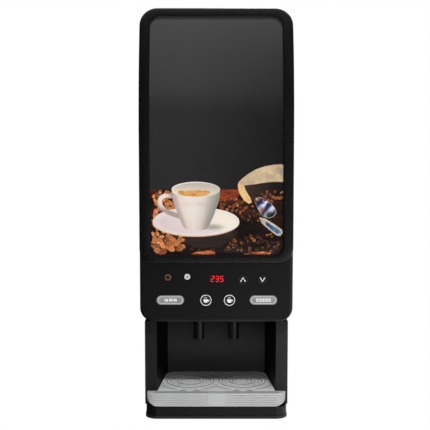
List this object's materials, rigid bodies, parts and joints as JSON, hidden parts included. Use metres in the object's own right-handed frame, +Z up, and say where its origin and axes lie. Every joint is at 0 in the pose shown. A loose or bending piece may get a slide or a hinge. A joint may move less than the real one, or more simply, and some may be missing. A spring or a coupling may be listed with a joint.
{
  "type": "hot drinks vending machine",
  "caption": "Tall narrow tabletop machine for instant hot drinks: curved front door with picture window and keypad, open dispensing bay, silver drip tray.",
  "frame": {"origin": "centre of the machine's footprint on the table it stands on", "axes": "+Z up, the front with the door faces -Y, +X to the right of someone facing the front"},
  "size_m": [0.28, 0.46, 0.757],
  "materials": {
    "base_black": "satin",
    "rubber": "matte",
    "cabinet_paint": "fine texture",
    "bay_plastic": "satin",
    "galvanised_sheet": "satin",
    "canister_plastic": "gloss",
    "lid_plastic": "satin",
    "white_plastic": "satin",
    "motor_metal": "satin",
    "silicone": "matte",
    "tank_steel": "brushed",
    "circuit_board": "satin",
    "black_moulding": "satin",
    "steel_screws": "satin",
    "door_black": "satin",
    "clear_pane": "gloss",
    "graphic": "satin",
    "overlay": "gloss",
    "display_red": "gloss",
    "lamp_white": "gloss",
    "label_grey": "satin",
    "button_grey": "gloss",
    "lock_metal": "polished",
    "tray_black": "satin",
    "tray_silver": "satin metallic"
  },
  "bodies": {
    "cabinet": {"base_skirt": "base_black", "rubber_feet": "rubber", "left_side_panel": "cabinet_paint", "right_side_panel": "cabinet_paint", "rear_panel": "cabinet_paint", "top_panel": "cabinet_paint", "bay_left_cheek": "bay_plastic", "bay_right_cheek": "bay_plastic", "bay_back_panel": "bay_plastic", "bay_ceiling": "bay_plastic", "component_plate": "galvanised_sheet", "canister_shelf": "galvanised_sheet", "hinge_brackets": "galvanised_sheet", "lock_strike": "galvanised_sheet", "left_canister": "canister_plastic", "right_canister": "canister_plastic", "auger_motors": "motor_metal", "left_mixing_bowl": "white_plastic", "right_mixing_bowl": "white_plastic", "whipper_housings": "white_plastic", "whipper_motors": "motor_metal", "dispensing_nozzles": "bay_plastic", "drink_hoses": "silicone", "water_tank": "tank_steel", "tank_lid": "tank_steel", "heating_element": "tank_steel", "water_valves": "white_plastic", "water_pipes": "silicone", "inlet_valve": "white_plastic", "power_board": "circuit_board", "power_inlet": "black_moulding", "panel_screws": "steel_screws"},
    "door": {"door_shell": "door_black", "door_bezel": "door_black", "window_pane": "clear_pane", "graphic_panel": "graphic", "backlight_board": "circuit_board", "door_inner_cover": "door_black", "control_overlay": "overlay", "control_board": "circuit_board", "digit_display": "display_red", "ready_lamp": "lamp_white", "selection_labels": "label_grey", "lock_barrel": "lock_metal"},
    "tray": {"drip_tray": "tray_black", "tray_front_cover": "tray_silver"},
    "grille": {"drip_grille": "tray_silver"},
    "standby_key": {"standby_key": "overlay"},
    "left_cup_button": {"left_cup_button": "button_grey"},
    "right_cup_button": {"right_cup_button": "button_grey"},
    "up_key": {"up_key": "overlay"},
    "down_key": {"down_key": "overlay"},
    "lock_cam": {"lock_cam": "lock_metal"},
    "left_canister_lid": {"left_canister_lid": "lid_plastic"},
    "right_canister_lid": {"right_canister_lid": "lid_plastic"},
    "left_auger": {"left_auger": "white_plastic"},
    "right_auger": {"right_auger": "white_plastic"},
    "left_whipper": {"left_whipper": "motor_metal"},
    "right_whipper": {"right_whipper": "motor_metal"},
    "rocker_switch": {"rocker_switch": "black_moulding"}
  },
  "joints": [
    {"name": "door_swing", "type": "hinge", "parent": "cabinet", "child": "door", "pos_m": [-0.128, -0.154, 0.45], "axis": [0, 0, -1], "range_deg": [0, 100]},
    {"name": "tray_slide", "type": "slide", "parent": "cabinet", "child": "tray", "axis": [0, -1, 0], "range_m": [0, 0.09]},
    {"name": "grille_lift", "type": "slide", "parent": "tray", "child": "grille", "axis": [0, 0, 1], "range_m": [0, 0.03]},
    {"name": "standby_key_press", "type": "slide", "parent": "door", "child": "standby_key", "axis": [0, 1, 0], "range_m": [0, 0.0008], "stiffness_N_per_m": 1000},
    {"name": "left_cup_button_press", "type": "slide", "parent": "door", "child": "left_cup_button", "axis": [0, 1, 0], "range_m": [0, 0.0008], "stiffness_N_per_m": 1000},
    {"name": "right_cup_button_press", "type": "slide", "parent": "door", "child": "right_cup_button", "axis": [0, 1, 0], "range_m": [0, 0.0008], "stiffness_N_per_m": 1000},
    {"name": "up_key_press", "type": "slide", "parent": "door", "child": "up_key", "axis": [0, 1, 0], "range_m": [0, 0.0008], "stiffness_N_per_m": 1000},
    {"name": "down_key_press", "type": "slide", "parent": "door", "child": "down_key", "axis": [0, 1, 0], "range_m": [0, 0.0008], "stiffness_N_per_m": 1000},
    {"name": "lock_turn", "type": "hinge", "parent": "door", "child": "lock_cam", "pos_m": [0.125, -0.162, 0.42], "axis": [-1, 0, 0], "range_deg": [0, 90]},
    {"name": "left_lid_swing", "type": "hinge", "parent": "cabinet", "child": "left_canister_lid", "pos_m": [-0.0625, 0.021, 0.655], "axis": [-1, 0, 0], "range_deg": [0, 40]},
    {"name": "right_lid_swing", "type": "hinge", "parent": "cabinet", "child": "right_canister_lid", "pos_m": [0.0625, 0.021, 0.655], "axis": [-1, 0, 0], "range_deg": [0, 40]},
    {"name": "left_auger_spin", "type": "hinge", "parent": "cabinet", "child": "left_auger", "pos_m": [-0.0625, 0, 0.491], "axis": [0, 1, 0], "continuous": true},
    {"name": "right_auger_spin", "type": "hinge", "parent": "cabinet", "child": "right_auger", "pos_m": [0.0625, 0, 0.491], "axis": [0, 1, 0], "continuous": true},
    {"name": "left_whipper_spin", "type": "hinge", "parent": "cabinet", "child": "left_whipper", "pos_m": [-0.0625, 0, 0.35], "axis": [0, 1, 0], "continuous": true},
    {"name": "right_whipper_spin", "type": "hinge", "parent": "cabinet", "child": "right_whipper", "pos_m": [0.0625, 0, 0.35], "axis": [0, 1, 0], "continuous": true},
    {"name": "rocker_flip", "type": "hinge", "parent": "cabinet", "child": "rocker_switch", "pos_m": [0.07, 0.202, 0.113], "axis": [-1, 0, 0], "range_deg": [0, 18]}
  ]
}
